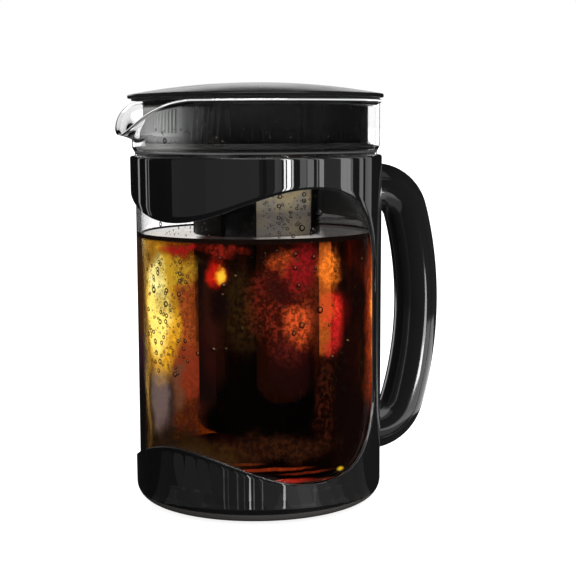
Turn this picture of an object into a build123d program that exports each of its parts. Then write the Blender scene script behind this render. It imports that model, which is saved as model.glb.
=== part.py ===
from build123d import *
import math
import os

# Cold brew coffee maker: a glass carafe in a black wave-cut sleeve with a C handle,
# closed by a domed lid that carries a mesh brewing filter. Millimetres, +Z up,
# +X towards the handle, -X towards the spout, origin under the carafe's axis.

# Sleeve
foot_height = 1.0
sleeve_top = 175.2
sleeve_radius = 63.5
sleeve_base_radius = 62.7
sleeve_bore = 61.3
sleeve_floor = 3.0
sleeve_bottom_round = 8.5
sleeve_inside_round = 7.5
sleeve_rim_chamfer = 1.2

# Wave-cut window in the sleeve, mirrored top to bottom about its middle height
window_middle = 89.9
window_mean = 62.45
window_wave = 8.05
window_crest_angle = 85.0
window_wave_length = 130.0
spine_half_angle = 43.0
corner_half_angle = 14.0
corner_radius = 40.0
window_sections = 22
window_overlap = 0.7
window_cut_inner = 57.5
window_cut_outer = 73.5

# Handle: an oval swept along three tangent arcs
handle_top = 158.5
handle_straight_end = 66.5
handle_root = 57.0
handle_arcs = [(18.4, 74.4), (178.8, 33.2), (19.1, 72.4)]
handle_thickness = 23.2
handle_width = 22.0
handle_wall = 2.6
handle_cover_depth = 7.5

# Foot pad and the cushion under the glass
foot_radius = 52.0
foot_seat = 1.4
foot_edge = 0.5
cushion_inner = 22.0
cushion_outer = 49.0
cushion_height = 2.0
cushion_edge = 0.6

# Glass carafe
glass_body = 60.9
glass_neck = 62.4
glass_wall = 2.3
glass_neck_wall = 2.2
glass_floor = 4.0
glass_corner = 11.0
glass_shoulder_low = 176.2
glass_shoulder_high = 180.0
glass_rim = 202.4
rim_flare = 0.15
rim_bead = 0.5
bead_start = 2.0
bead_full = 1.2
bead_end = 0.2
rim_land = 1.4
rim_inner_drop = 0.6
lean_lag = 1.6

# Spout: the rim dips and leans outwards round the side opposite the handle
spout_half_angle = 40.0
spout_dip = 16.4
spout_dip_spread = 22.5
spout_reach = 8.6
spout_sections = 12
spout_set_in = 0.06
spout_root = 0.3

# Lid
lid_radius = 64.3
lid_under = 203.6
lid_edge = 1.8
lid_height = 211.4
lid_crown = 0.76
lid_edge_round = 0.6
lid_shell = 2.4
lid_rib_inner = 49.6
lid_rib_outer = 52.2
lid_rib_depth = 4.0
gasket_height = 1.1
gasket_gap = 0.6
gasket_edge = 0.3
plug_radius = 56.6
plug_wall = 2.0
plug_bottom = 177.2
plug_foot = 2.0
plug_plate = 2.0
plug_plate_rise = 0.2
plug_mouth_step = 0.4
plug_mouth_depth = 5.0
plug_throat = 29.5
flow_inner = 40.0
flow_outer = 51.0
flow_count = 3
flow_arc = 18.0
flow_step = 24.0

# Seal between the plug and the glass neck
seal_groove = 55.0
seal_body = 57.9
seal_lip = 59.75
seal_low = 178.7
seal_high = 181.6
seal_lip_low = 179.4
seal_lip_high = 180.2
seal_lip_under = 0.2
seal_lip_over = 0.3
seal_bevel = 0.6
seal_play = 0.08
groove_play = 0.1

# Pour strainer set in the plug wall behind the spout
strainer_arc = 64.0
strainer_low = 185.0
strainer_high = 200.0
strainer_border = 1.6
strainer_side_arc = 2.0
slot_pitch = 2.5
slot_width = 1.2

# Filter and its bayonet
socket_inner = 35.2
socket_outer = 37.6
socket_bottom = 171.6
collar_radius = 34.9
collar_inner = 29.5
collar_top = 177.0
collar_flange = 37.2
collar_flange_low = 167.6
collar_flange_high = 169.6
bayonet_count = 3
bayonet_turn = 40.0
lug_half_angle = 5.0
lug_reach = 1.4
lug_low = 174.2
lug_high = 176.2
slot_play = 0.3
ring_seal_low = 170.0
ring_seal_high = 171.3
ring_seal_inner = 33.4

filter_top_radius = 32.5
filter_low_radius = 31.2
filter_top = 167.6
filter_low = 45.0
filter_wall = 1.8
mesh_inset = 0.6
mesh_thickness = 0.6
mesh_count = 4
mesh_first_angle = -82.0
mesh_half_width = 15.6
mesh_low = 53.0
mesh_high = 160.0
mesh_low_round = 12.0
mesh_high_round = 2.0

cap_low = 36.0
cap_round = 6.0
cap_floor = 2.0
spigot_radius = 28.9
spigot_inner = 25.5
spigot_high = 50.0
cap_seal_low = 46.2
cap_seal_high = 47.6
cap_seal_inner = 27.6
ring_seal_play = 0.1

# How far a cutter reaches past what it cuts
spare = 1.0

os.makedirs("parts", exist_ok=True)


def finish(part, name):
    part.part.label = name
    export_step(part.part, "parts/" + name + ".step")


def radial_plane(angle):
    a = math.radians(angle)
    x_dir = (math.cos(a), math.sin(a), 0)
    return Plane(origin=(0, 0, 0), x_dir=x_dir, z_dir=(math.sin(a), -math.cos(a), 0))


def ring(inner, outer, low, high, start=0.0, sweep_angle=360.0, mode=Mode.ADD):
    with BuildSketch(radial_plane(start)) as profile:
        with Locations(((inner + outer) / 2, (low + high) / 2)):
            Rectangle(outer - inner, high - low)
    revolve(profile.sketch, axis=Axis.Z, revolution_arc=sweep_angle, mode=mode)


def turned(points):
    with BuildSketch(Plane.XZ) as profile:
        with BuildLine():
            Polyline(*points, close=True)
        make_face()
    revolve(profile.sketch, axis=Axis.Z)


def window_height(turn):
    # Half height of the window at an angle from the handle. The wave has one trough
    # near the spout, runs level round the far side and ends there as it began.
    if turn > 360 - window_crest_angle:
        turn = 360 - turn
    turn = min(turn, window_crest_angle + window_wave_length)
    phase = 2 * math.pi * (turn - window_crest_angle) / window_wave_length
    return window_mean + window_wave * math.cos(phase)


# Sleeve
window_join = spine_half_angle + 2 * corner_half_angle
corner_chord = 2 * sleeve_radius * math.sin(math.radians(corner_half_angle))
corner_high = window_height(window_join)
corner_low = corner_high - math.sqrt(2 * corner_radius * corner_chord - corner_chord**2)
window_start = window_join - window_overlap
window_step = (360 - 2 * window_start) / window_sections

with BuildPart() as sleeve_outside:
    with BuildSketch(Plane.XZ):
        with BuildLine():
            Polyline(
                (0, foot_height),
                (sleeve_base_radius, foot_height),
                (sleeve_radius, sleeve_top),
                (0, sleeve_top),
                close=True,
            )
        make_face()
    revolve(axis=Axis.Z)
    fillet(edges().filter_by(GeomType.CIRCLE).group_by(Axis.Z)[0], sleeve_bottom_round)

with BuildPart() as sleeve_inside:
    ring(0, sleeve_bore, foot_height + sleeve_floor, sleeve_top + spare)
    fillet(edges().filter_by(GeomType.CIRCLE).group_by(Axis.Z)[0], sleeve_inside_round)

with BuildPart() as wave_cut:
    for index in range(window_sections + 1):
        turn = window_start + index * window_step
        with BuildSketch(radial_plane(-turn)):
            with Locations(((window_cut_inner + window_cut_outer) / 2, window_middle)):
                Rectangle(window_cut_outer - window_cut_inner, 2 * window_height(turn))
    loft()

with BuildPart() as outer_sleeve:
    add(sleeve_outside.part)
    chamfer(
        edges().filter_by(GeomType.CIRCLE).group_by(Axis.Z)[-1], sleeve_rim_chamfer
    )
    add(sleeve_inside.part, mode=Mode.SUBTRACT)
    ring(0, foot_radius, 0, foot_height + foot_seat, mode=Mode.SUBTRACT)
    add(wave_cut.part, mode=Mode.SUBTRACT)
    for side in (1, -1):
        middle = math.radians(spine_half_angle + corner_half_angle)
        outward = (math.cos(middle), -side * math.sin(middle), 0)
        away = (-math.sin(middle), -side * math.cos(middle), 0)
        corner_plane = Plane(origin=(0, 0, window_middle), x_dir=away, z_dir=outward)
        reach = corner_chord / 2
        with BuildSketch(corner_plane):
            with BuildLine():
                Line((-reach, -corner_low), (-reach, corner_low))
                TangentArc((-reach, corner_low), (reach, corner_high), tangent=(0, 1))
                Line((reach, corner_high), (reach, -corner_high))
                TangentArc((-reach, -corner_low), (reach, -corner_high), tangent=(0, -1))
            make_face()
        extrude(amount=window_cut_outer, mode=Mode.SUBTRACT)
finish(outer_sleeve, "outer_sleeve")

with BuildPart() as foot_pad:
    ring(0, foot_radius, 0, foot_height + foot_seat)
    fillet(edges().filter_by(GeomType.CIRCLE).group_by(Axis.Z)[0], foot_edge)
finish(foot_pad, "foot_pad")

cushion_low = foot_height + sleeve_floor
with BuildPart() as base_cushion:
    ring(cushion_inner, cushion_outer, cushion_low, cushion_low + cushion_height)
    fillet(edges().filter_by(GeomType.CIRCLE).group_by(Axis.Z)[-1], cushion_edge)
finish(base_cushion, "base_cushion")

# Handle
cover_line = handle_thickness / 2 - handle_cover_depth
with BuildLine(Plane.XZ) as handle_path:
    Line((handle_root, handle_top), (handle_straight_end, handle_top))
    heading = 0.0
    x = handle_straight_end
    z = handle_top
    for arc_radius, arc_angle in handle_arcs:
        course = (math.cos(heading), math.sin(heading))
        JernArc((x, z), course, arc_radius, -arc_angle)
        x += arc_radius * math.sin(heading)
        z -= arc_radius * math.cos(heading)
        heading -= math.radians(arc_angle)
        x -= arc_radius * math.sin(heading)
        z += arc_radius * math.cos(heading)
    Line((x, z), (handle_root, z))
handle_line = handle_path.wire()
handle_start = Plane(origin=handle_line @ 0, x_dir=(0, 1, 0), z_dir=handle_line % 0)


def handle_shell(low, high):
    # Part of the hollow oval between two heights measured out from the path
    with BuildSketch(handle_start) as oval:
        Ellipse(handle_width / 2, handle_thickness / 2)
        Ellipse(
            handle_width / 2 - handle_wall,
            handle_thickness / 2 - handle_wall,
            mode=Mode.SUBTRACT,
        )
        with Locations((0, (low + high) / 2)):
            Rectangle(handle_width + spare, high - low, mode=Mode.INTERSECT)
    sweep(oval.sketch, path=handle_line)
    add(sleeve_outside.part, mode=Mode.SUBTRACT)


with BuildPart() as handle_body:
    handle_shell(-handle_thickness, cover_line)
finish(handle_body, "handle_body")

with BuildPart() as handle_cover:
    handle_shell(cover_line, handle_thickness)
finish(handle_cover, "handle_cover")

# Glass carafe
glass_base = cushion_low + cushion_height
glass_inside = glass_body - glass_wall
inside_floor = glass_base + glass_floor
inside_corner = glass_corner - glass_wall
neck_inside = glass_neck - glass_neck_wall


def spout_lean(angle):
    # How far the rim dips and how far it leans out, at an angle from the spout
    if abs(angle) >= spout_half_angle:
        return 0.0, 0.0
    tail = math.exp(-((spout_half_angle / spout_dip_spread) ** 2))
    dip = (math.exp(-((angle / spout_dip_spread) ** 2)) - tail) / (1 - tail)
    out = math.cos(math.pi / 2 * angle / spout_half_angle)
    return spout_dip * dip, spout_reach * out


def rim_section(angle, set_in=0.0, root=0.0):
    # Wall of the neck from the shoulder to the beaded rim, as (radius, height) points
    dip, out = spout_lean(angle)
    top = glass_rim - dip - set_in
    lean_from = (glass_shoulder_high + top) / 2
    outer = glass_neck - set_in
    inner = neck_inside + set_in
    bead = outer + rim_bead + out
    return [
        (outer - root, glass_shoulder_high),
        (outer, lean_from),
        (outer + rim_flare + out, top - bead_start),
        (bead, top - bead_full),
        (bead - rim_bead, top - bead_end),
        (bead - rim_land, top),
        (inner + rim_flare + out, top - rim_inner_drop),
        (inner, lean_from + lean_lag),
        (inner + root, glass_shoulder_high),
    ]


with BuildPart() as glass_carafe:
    with BuildSketch(Plane.XZ):
        with BuildLine():
            corner_out = glass_body - glass_corner
            corner_in = glass_inside - inside_corner
            Line((0, glass_base), (corner_out, glass_base))
            JernArc((corner_out, glass_base), (1, 0), glass_corner, 90)
            Polyline(
                (glass_body, glass_base + glass_corner),
                (glass_body, glass_shoulder_low),
                (glass_neck, glass_shoulder_high),
                (neck_inside, glass_shoulder_high),
                (glass_inside, glass_shoulder_low),
                (glass_inside, inside_floor + inside_corner),
            )
            JernArc((glass_inside, inside_floor + inside_corner), (0, -1), inside_corner, -90)
            Polyline((corner_in, inside_floor), (0, inside_floor), (0, glass_base))
        make_face()
    revolve(axis=Axis.Z)
    with BuildSketch(radial_plane(180 + spout_half_angle)):
        with BuildLine():
            Polyline(*rim_section(spout_half_angle), close=True)
        make_face()
    revolve(axis=Axis.Z, revolution_arc=360 - 2 * spout_half_angle)
    for index in range(spout_sections + 1):
        angle = spout_half_angle * (2 * index / spout_sections - 1)
        with BuildSketch(radial_plane(180 + angle)):
            with BuildLine():
                Polyline(*rim_section(angle, spout_set_in, spout_root), close=True)
            make_face()
    loft()
finish(glass_carafe, "glass_carafe")

# Lid
edge_top = lid_under + lid_edge
with BuildPart() as lid_cover:
    with BuildSketch(Plane.XZ):
        with BuildLine():
            Line((0, lid_height - lid_shell), (0, lid_height))
            ThreePointArc(
                (0, lid_height),
                (lid_radius / 2, edge_top + lid_crown * (lid_height - edge_top)),
                (lid_radius, edge_top),
            )
            Polyline(
                (lid_radius, edge_top),
                (lid_radius, lid_under),
                (lid_rib_outer, lid_under),
                (lid_rib_outer, lid_under - lid_rib_depth),
                (lid_rib_inner, lid_under - lid_rib_depth),
                (lid_rib_inner, lid_under),
                (0, lid_height - lid_shell),
            )
        make_face()
    revolve(axis=Axis.Z)
    rim_edges = edges().filter_by(GeomType.CIRCLE).sort_by(SortBy.RADIUS)[-2:]
    fillet(rim_edges, lid_edge_round)
finish(lid_cover, "lid_cover")

gasket_low = lid_under - gasket_height
with BuildPart() as lid_gasket:
    ring(plug_radius + gasket_gap, glass_neck, gasket_low, lid_under)
    fillet(edges().filter_by(GeomType.CIRCLE).group_by(Axis.Z)[0], gasket_edge)
finish(lid_gasket, "lid_gasket")

plug_inside = plug_radius - plug_wall
plug_mouth = plug_inside - plug_mouth_step
plate_low = seal_low + plug_plate_rise
plate_high = plate_low + plug_plate
mouth_low = lid_under - plug_mouth_depth
strainer_start = 180 - strainer_arc / 2
with BuildPart() as lid_plug:
    turned(
        [
            (plug_throat, plate_low),
            (socket_inner, plate_low),
            (socket_inner, socket_bottom),
            (socket_outer, socket_bottom),
            (socket_outer, plate_low),
            (plug_inside - plug_foot, plate_low),
            (plug_inside - plug_foot, plug_bottom),
            (plug_radius, plug_bottom),
            (plug_radius, seal_low - groove_play),
            (seal_groove, seal_low - groove_play),
            (seal_groove, seal_high + groove_play),
            (plug_radius, seal_high + groove_play),
            (plug_radius, lid_under),
            (plug_mouth, lid_under),
            (plug_mouth, mouth_low),
            (plug_inside, mouth_low - plug_mouth_step),
            (plug_inside, plate_high),
            (plug_throat, plate_high),
        ]
    )
    ring(
        plug_inside - spare,
        plug_radius + spare,
        strainer_low,
        strainer_high,
        strainer_start,
        strainer_arc,
        mode=Mode.SUBTRACT,
    )
    for index in range(flow_count):
        flow_start = 180 - flow_arc / 2 + (index - (flow_count - 1) / 2) * flow_step
        ring(
            flow_inner,
            flow_outer,
            plate_low - spare,
            plate_high + spare,
            flow_start,
            flow_arc,
            mode=Mode.SUBTRACT,
        )
    lug_slot = math.degrees(slot_play / collar_radius) + lug_half_angle
    for index in range(bayonet_count):
        lug_angle = index * 360 / bayonet_count
        ring(
            collar_radius,
            collar_radius + lug_reach + slot_play,
            lug_low - slot_play,
            lug_high + slot_play,
            lug_angle - bayonet_turn - lug_slot,
            bayonet_turn + 2 * lug_slot,
            mode=Mode.SUBTRACT,
        )
        ring(
            collar_radius,
            collar_radius + lug_reach + slot_play,
            socket_bottom - spare,
            lug_high + slot_play,
            lug_angle - bayonet_turn - lug_slot,
            2 * lug_slot,
            mode=Mode.SUBTRACT,
        )
finish(lid_plug, "lid_plug")

slot_step = math.degrees(slot_pitch / plug_radius)
slot_count = int((strainer_arc - 2 * strainer_side_arc) / slot_step)
with BuildPart() as pour_strainer:
    ring(plug_inside, plug_radius, strainer_low, strainer_high, strainer_start, strainer_arc)
    slot_low = strainer_low + strainer_border
    slot_height = strainer_high - strainer_low - 2 * strainer_border
    first_slot = 180 - slot_step * (slot_count - 1) / 2
    with Locations((0, 0, slot_low + slot_height / 2)):
        with PolarLocations(
            plug_radius, slot_count, first_slot, slot_step * (slot_count - 1), endpoint=True
        ):
            Box(3 * plug_wall, slot_width, slot_height, mode=Mode.SUBTRACT)
finish(pour_strainer, "pour_strainer")

with BuildPart() as lid_seal:
    inner = seal_groove + seal_play
    turned(
        [
            (inner, seal_low),
            (seal_body, seal_low),
            (seal_body, seal_lip_low - seal_lip_under),
            (seal_lip, seal_lip_low),
            (seal_lip, seal_lip_high),
            (seal_body, seal_lip_high + seal_lip_over),
            (seal_body - seal_bevel, seal_high),
            (inner, seal_high),
        ]
    )
finish(lid_seal, "lid_seal")


# Filter
def filter_radius(height):
    share = (height - filter_low) / (filter_top - filter_low)
    return filter_low_radius + share * (filter_top_radius - filter_low_radius)


def mesh_window(angle, mode):
    # Window between two ribs: straight sides, a deeply rounded foot, small top corners
    a = math.radians(angle)
    outward = (math.cos(a), math.sin(a), 0)
    across = (-math.sin(a), math.cos(a), 0)
    with BuildSketch(Plane(origin=(0, 0, 0), x_dir=across, z_dir=outward)) as opening:
        with Locations((0, (mesh_low + mesh_high) / 2)):
            Rectangle(2 * mesh_half_width, mesh_high - mesh_low)
        fillet(opening.vertices().group_by(Axis.Y)[0], mesh_low_round)
        fillet(opening.vertices().group_by(Axis.Y)[-1], mesh_high_round)
    extrude(opening.sketch, amount=filter_top_radius + spare, mode=mode)


with BuildPart() as filter_frame:
    turned(
        [
            (filter_radius(filter_low) - filter_wall, filter_low),
            (filter_radius(filter_low), filter_low),
            (filter_radius(filter_top), filter_top),
            (filter_radius(filter_top) - filter_wall, filter_top),
        ]
    )
    for index in range(mesh_count):
        mesh_window(mesh_first_angle + index * 360 / mesh_count, Mode.SUBTRACT)
finish(filter_frame, "filter_frame")

for index in range(mesh_count):
    with BuildPart() as filter_mesh:
        turned(
            [
                (filter_radius(mesh_low) - mesh_inset - mesh_thickness, mesh_low),
                (filter_radius(mesh_low) - mesh_inset, mesh_low),
                (filter_radius(mesh_high) - mesh_inset, mesh_high),
                (filter_radius(mesh_high) - mesh_inset - mesh_thickness, mesh_high),
            ]
        )
        mesh_window(mesh_first_angle + index * 360 / mesh_count, Mode.INTERSECT)
    finish(filter_mesh, "filter_mesh_" + str(index + 1))

with BuildPart() as filter_collar:
    turned(
        [
            (collar_inner, filter_top),
            (collar_flange, collar_flange_low),
            (collar_flange, collar_flange_high),
            (collar_radius, collar_flange_high),
            (collar_radius, ring_seal_low),
            (ring_seal_inner, ring_seal_low),
            (ring_seal_inner, ring_seal_high),
            (collar_radius, ring_seal_high),
            (collar_radius, collar_top),
            (collar_inner, collar_top),
        ]
    )
    for index in range(bayonet_count):
        lug_angle = index * 360 / bayonet_count
        ring(
            collar_radius - spare,
            collar_radius + lug_reach,
            lug_low,
            lug_high,
            lug_angle - lug_half_angle,
            2 * lug_half_angle,
        )
finish(filter_collar, "filter_collar")

with BuildPart() as collar_seal:
    ring(ring_seal_inner, socket_inner - ring_seal_play, ring_seal_low, ring_seal_high)
finish(collar_seal, "collar_seal")

with BuildPart() as filter_cap:
    cap_radius = filter_low_radius
    with BuildSketch(Plane.XZ):
        with BuildLine():
            Line((0, cap_low), (cap_radius - cap_round, cap_low))
            JernArc((cap_radius - cap_round, cap_low), (1, 0), cap_round, 90)
            Polyline(
                (cap_radius, cap_low + cap_round),
                (cap_radius, filter_low),
                (spigot_radius, filter_low),
                (spigot_radius, cap_seal_low),
                (cap_seal_inner, cap_seal_low),
                (cap_seal_inner, cap_seal_high),
                (spigot_radius, cap_seal_high),
                (spigot_radius, spigot_high),
                (spigot_inner, spigot_high),
                (spigot_inner, cap_low + cap_floor),
                (0, cap_low + cap_floor),
                (0, cap_low),
            )
        make_face()
    revolve(axis=Axis.Z)
finish(filter_cap, "filter_cap")

with BuildPart() as cap_seal:
    cap_seal_outer = filter_low_radius - filter_wall - ring_seal_play
    ring(cap_seal_inner, cap_seal_outer, cap_seal_low, cap_seal_high)
finish(cap_seal, "cap_seal")
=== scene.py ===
import bpy
import math
import random
import bmesh
from mathutils import Matrix, Vector


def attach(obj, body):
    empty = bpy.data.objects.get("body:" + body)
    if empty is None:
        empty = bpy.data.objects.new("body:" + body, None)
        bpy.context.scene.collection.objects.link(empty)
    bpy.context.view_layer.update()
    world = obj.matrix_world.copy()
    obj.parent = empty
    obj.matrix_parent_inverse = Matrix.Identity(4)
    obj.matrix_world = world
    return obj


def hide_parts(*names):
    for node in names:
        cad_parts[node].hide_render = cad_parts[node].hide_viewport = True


# Cold brew coffee maker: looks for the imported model. Metres, +X towards the handle,
# -X towards the spout. Sizes in the dictionaries are millimetres unless a note says so.

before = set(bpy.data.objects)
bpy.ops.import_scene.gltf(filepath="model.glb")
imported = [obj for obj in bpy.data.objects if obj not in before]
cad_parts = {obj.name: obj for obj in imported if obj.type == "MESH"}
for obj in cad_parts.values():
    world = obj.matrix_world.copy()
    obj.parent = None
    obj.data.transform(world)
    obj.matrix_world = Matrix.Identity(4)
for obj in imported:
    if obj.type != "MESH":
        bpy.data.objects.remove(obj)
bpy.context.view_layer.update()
random.seed(41)
mm = 0.001
# How near to each other points become one, on made pieces and on copies
weld = {"made": 0.004, "copied": 0.002}


class Signal:
    # Wraps one output socket, so that shader maths reads as an expression
    def __init__(self, tree, socket):
        self.tree = tree
        self.socket = socket

    def joined(self, operation, other, swapped=False):
        node = self.tree.nodes.new("ShaderNodeMath")
        node.operation = operation
        pair = (other, self) if swapped else (self, other)
        for place, value in enumerate(pair):
            if isinstance(value, Signal):
                self.tree.links.new(value.socket, node.inputs[place])
            else:
                node.inputs[place].default_value = value
        return Signal(self.tree, node.outputs[0])

    def __add__(self, other):
        return self.joined("ADD", other)

    def __sub__(self, other):
        return self.joined("SUBTRACT", other)

    def __rsub__(self, other):
        return self.joined("SUBTRACT", other, True)

    def __mul__(self, other):
        return self.joined("MULTIPLY", other)

    def __truediv__(self, other):
        return self.joined("DIVIDE", other)

    def __pow__(self, other):
        return self.joined("POWER", other)

    def __gt__(self, other):
        return self.joined("GREATER_THAN", other)

    def __abs__(self):
        return self.joined("ABSOLUTE", 0.0)

    __radd__ = __add__
    __rmul__ = __mul__


class Finish:
    # One material and the nodes that make it
    def __init__(self, name):
        self.material = bpy.data.materials.new(name)
        self.material.use_nodes = True
        self.tree = self.material.node_tree
        self.tree.nodes.clear()

    def add(self, kind, settings=None, sockets=None, give=0):
        node = self.tree.nodes.new("ShaderNode" + kind)
        for name, value in (settings or {}).items():
            setattr(node, name, value)
        for name, value in (sockets or {}).items():
            if isinstance(value, Signal):
                self.tree.links.new(value.socket, node.inputs[name])
            else:
                node.inputs[name].default_value = value
        return Signal(self.tree, node.outputs[give])

    def place(self):
        return self.add("TexCoord", give="Object")

    def split(self, vector):
        first = self.add("SeparateXYZ", None, {0: vector})
        return [Signal(self.tree, out) for out in first.socket.node.outputs]

    def spot(self):
        return self.split(self.place())

    def length(self, vector):
        return self.add("VectorMath", {"operation": "LENGTH"}, {0: vector}, "Value")

    def fromAxis(self, x, y):
        # How far a point is from the upright axis
        return self.length(self.add("CombineXYZ", None, {"X": x, "Y": y}))

    def noise(self, scale, detail=2.0, rough=0.5, stretch=(1, 1, 1)):
        spot = self.add("Mapping", None, {"Vector": self.place(), "Scale": stretch})
        sockets = {"Vector": spot, "Scale": scale, "Detail": detail, "Roughness": rough}
        return self.add("TexNoise", None, sockets, "Fac")

    def span(self, value, low, high, start=0.0, end=1.0):
        # A smooth rise or fall from start at low to end at high, level outside
        return self.add("MapRange", {"interpolation_type": "SMOOTHSTEP"}, {
            "Value": value, "From Min": low, "From Max": high, "To Min": start, "To Max": end,
        })

    def fall(self, value, low, high):
        return self.span(value, low, high, 1.0, 0.0)

    def edge(self, value, ends, start=0.0, end=1.0):
        # A span whose ends are in millimetres
        return self.span(value, ends[0] * mm, ends[1] * mm, start, end)

    def blend(self, share, first, second):
        first, second = [(*c, 1.0) if isinstance(c, tuple) else c for c in (first, second)]
        return self.add("Mix", {"data_type": "RGBA"}, {0: share, 6: first, 7: second}, 2)

    def bump(self, height, distance, strength=1.0):
        sockets = {"Height": height, "Distance": distance, "Strength": strength}
        return self.add("Bump", None, sockets)

    def surface(self, sockets, volume=None):
        shader = self.add("BsdfPrincipled", None, sockets)
        self.close(shader, volume)
        return self.material

    def close(self, shader, volume=None):
        sockets = {"Surface": shader}
        if volume:
            sockets["Volume"] = volume
        output = self.tree.nodes.new("ShaderNodeOutputMaterial")
        for name, value in sockets.items():
            self.tree.links.new(value.socket, output.inputs[name])


def clearSelection():
    if bpy.context.mode != "OBJECT":
        bpy.ops.object.mode_set(mode="OBJECT")
    bpy.ops.object.select_all(action="DESELECT")


def pick(piece):
    clearSelection()
    piece.select_set(True)
    bpy.context.view_layer.objects.active = piece


def started(name):
    piece = bpy.context.object
    piece.name = name
    piece.data.name = name
    return piece


def edit(piece):
    pick(piece)
    bpy.ops.object.mode_set(mode="EDIT")
    bpy.ops.mesh.select_mode(type="VERT")
    bpy.ops.mesh.select_all(action="SELECT")


def welded(kind="made"):
    # In edit mode, joins the points that lie together
    bpy.ops.mesh.select_all(action="SELECT")
    bpy.ops.mesh.remove_doubles(threshold=weld[kind] * mm)


def faced():
    # In edit mode, turns every face outward, then leaves the mode
    bpy.ops.mesh.select_all(action="SELECT")
    bpy.ops.mesh.normals_make_consistent(inside=False)
    bpy.ops.object.mode_set(mode="OBJECT")


def reshape(piece, rule):
    for vertex in piece.data.vertices:
        vertex.co = rule(vertex.co)
    piece.data.update()


def modify(piece, kind, **settings):
    pick(piece)
    modifier = piece.modifiers.new(kind.title(), kind)
    for name, value in settings.items():
        setattr(modifier, name, value)
    bpy.ops.object.modifier_apply(modifier=modifier.name)


def rounded(piece, width, segments, angle):
    modify(
        piece, "BEVEL", width=width * mm, segments=segments, limit_method="ANGLE",
        angle_limit=math.radians(angle), harden_normals=False,
    )


def smooth(piece, angle):
    pick(piece)
    bpy.ops.object.shade_smooth_by_angle(angle=math.radians(angle))


def dress(piece, material, body, nodes=()):
    piece.data.materials.clear()
    piece.data.materials.append(material)
    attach(piece, body)
    if nodes:
        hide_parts(*nodes)


def turned(name, profile, steps, closed=True):
    # Spins a profile of (radius, height) points about the upright axis
    clearSelection()
    bpy.ops.mesh.primitive_plane_add(size=mm, location=(0, 0, 0))
    piece = started(name)
    edit(piece)
    bpy.ops.mesh.merge(type="CENTER")
    here = Vector((0, 0, 0))
    points = list(profile) + ([profile[0]] if closed else [])
    for count, (radius, height) in enumerate(points):
        there = Vector((radius * mm, 0, height * mm))
        if count == 0:
            bpy.ops.transform.translate(value=there)
        else:
            bpy.ops.mesh.extrude_region_move(TRANSFORM_OT_translate={"value": there - here})
        here = there
    bpy.ops.mesh.select_all(action="SELECT")
    bpy.ops.mesh.spin(steps=steps, angle=2 * math.pi, center=(0, 0, 0), axis=(0, 0, 1))
    welded()
    faced()
    return piece


def copied(name, node):
    # A merged, smooth copy of a CAD node, for shapes that are right as they stand
    clearSelection()
    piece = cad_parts[node].copy()
    piece.data = piece.data.copy()
    piece.parent = None
    for key in list(piece.keys()):
        del piece[key]
    bpy.context.scene.collection.objects.link(piece)
    piece.name = name
    piece.data.name = name
    piece.matrix_world = Matrix.Identity(4)
    edit(piece)
    welded("copied")
    bpy.ops.object.mode_set(mode="OBJECT")
    smooth(piece, angle=28)
    return piece


def around(radius, turn, height):
    a = math.radians(turn)
    return Vector((radius * math.cos(a) * mm, radius * math.sin(a) * mm, height * mm))


def pickParts(piece, kind, test):
    # In edit mode, selects the vertices, edges or faces whose middle passes the test
    edit(piece)
    bpy.ops.mesh.select_all(action="DESELECT")
    bpy.ops.mesh.select_mode(type={"verts": "VERT", "edges": "EDGE", "faces": "FACE"}[kind])
    shape = bmesh.from_edit_mesh(piece.data)
    for part in getattr(shape, kind):
        if kind == "verts":
            middle = part.co
        else:
            middle = sum((v.co for v in part.verts), Vector()) / len(part.verts)
        part.select_set(bool(test(middle)))
    shape.select_flush_mode()
    bmesh.update_edit_mesh(piece.data)


def sheet(name, columns, rows):
    # A grid whose vertex (x, y) holds its column and row number, ready to be reshaped
    clearSelection()
    bpy.ops.mesh.primitive_grid_add(x_subdivisions=columns, y_subdivisions=rows, size=2)
    piece = started(name)

    def numbered(v):
        return Vector((round((v.x + 1) / 2 * columns), round((v.y + 1) / 2 * rows), 0))

    reshape(piece, numbered)
    return piece


def arcOf(centre, radius, start, end, steps):
    points = []
    for step in range(steps + 1):
        a = math.radians(start + (end - start) * step / steps)
        points.append((centre[0] + radius * math.cos(a), centre[1] + radius * math.sin(a)))
    return points


def eased(share):
    share = min(max(share, 0.0), 1.0)
    return share * share * (3 - 2 * share)


print("helpers ready")

# Sleeve: one moulded wall from foot to rim, with the wave-cut window left out of it
sleeve = {
    "bottom": 1.0,
    "top": 175.2,
    "baseRadius": 62.7,
    "topRadius": 63.5,
    "bore": 61.35,
    "bottomRound": 8.5,
    "rimRound": 1.1,
    "wall": 1.3,
    "seatRadius": 52.1,
    "seatDepth": 1.4,
    "windowMiddle": 89.9,
    "windowMean": 62.45,
    "windowWave": 8.05,
    "crestTurn": 85.0,
    "waveLength": 130.0,
    "spineHalf": 43.0,
    "cornerTurn": 28.0,
    "cornerRadius": 40.0,
    "edgeRound": 0.32,
    "floorRing": 26.0,
    "spineColumns": 32,
    "cornerColumns": 9,
    "farColumns": 110,
    "roundSteps": 10,
    "lowRows": 8,
    "midRows": 8,
    "highRows": 7,
    "boreBelow": 2.0,
    "boreDepth": 0.6,
    "rimBand": 0.4,
    "rimDepth": 0.1,
}


def waveHalf(turn):
    if turn > 360 - sleeve["crestTurn"]:
        turn = 360 - turn
    turn = min(turn, sleeve["crestTurn"] + sleeve["waveLength"])
    phase = 2 * math.pi * (turn - sleeve["crestTurn"]) / sleeve["waveLength"]
    return sleeve["windowMean"] + sleeve["windowWave"] * math.cos(phase)


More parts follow.
